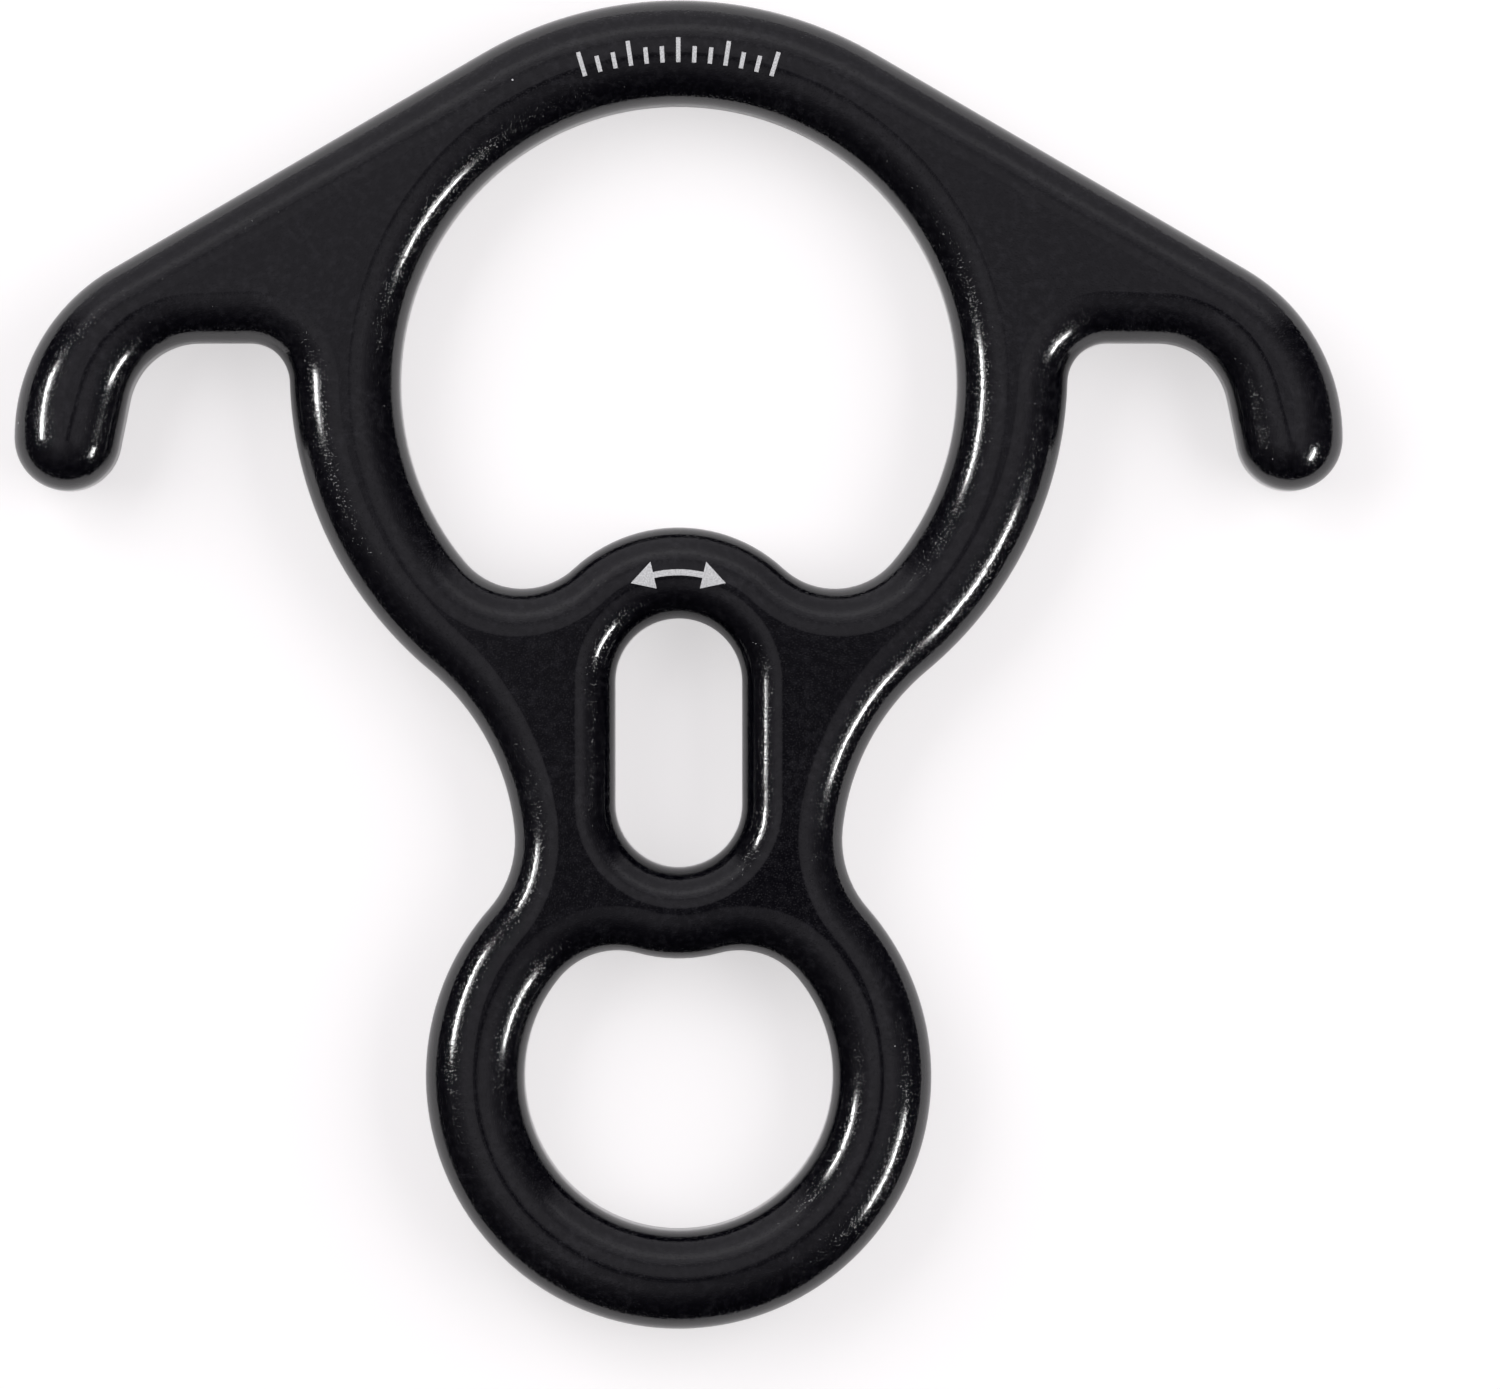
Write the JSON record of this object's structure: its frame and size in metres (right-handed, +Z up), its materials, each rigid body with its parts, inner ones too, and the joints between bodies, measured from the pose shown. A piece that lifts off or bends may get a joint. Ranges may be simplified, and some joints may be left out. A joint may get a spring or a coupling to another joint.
{
  "type": "figure eight descender",
  "caption": "Rescue figure eight descender: large rope ring with bent ears, slotted neck and carabiner eye, forged and rounded all over.",
  "frame": {"origin": "under the middle of the outline, on the surface that the figure eight lies on", "axes": "+X across the ears, +Y from the carabiner eye to the crown of the rope ring, +Z up through the bar's thickness"},
  "size_m": [0.155, 0.155, 0.013],
  "materials": {
    "black_anodised_alloy": "black anodised over a tumbled, polished forging",
    "etched_alloy": "pale, matt laser etching"
  },
  "bodies": {
    "root": {"forged_body": "black_anodised_alloy", "crown_index_marks": "etched_alloy", "slot_arrow_mark": "etched_alloy"}
  },
  "joints": []
}
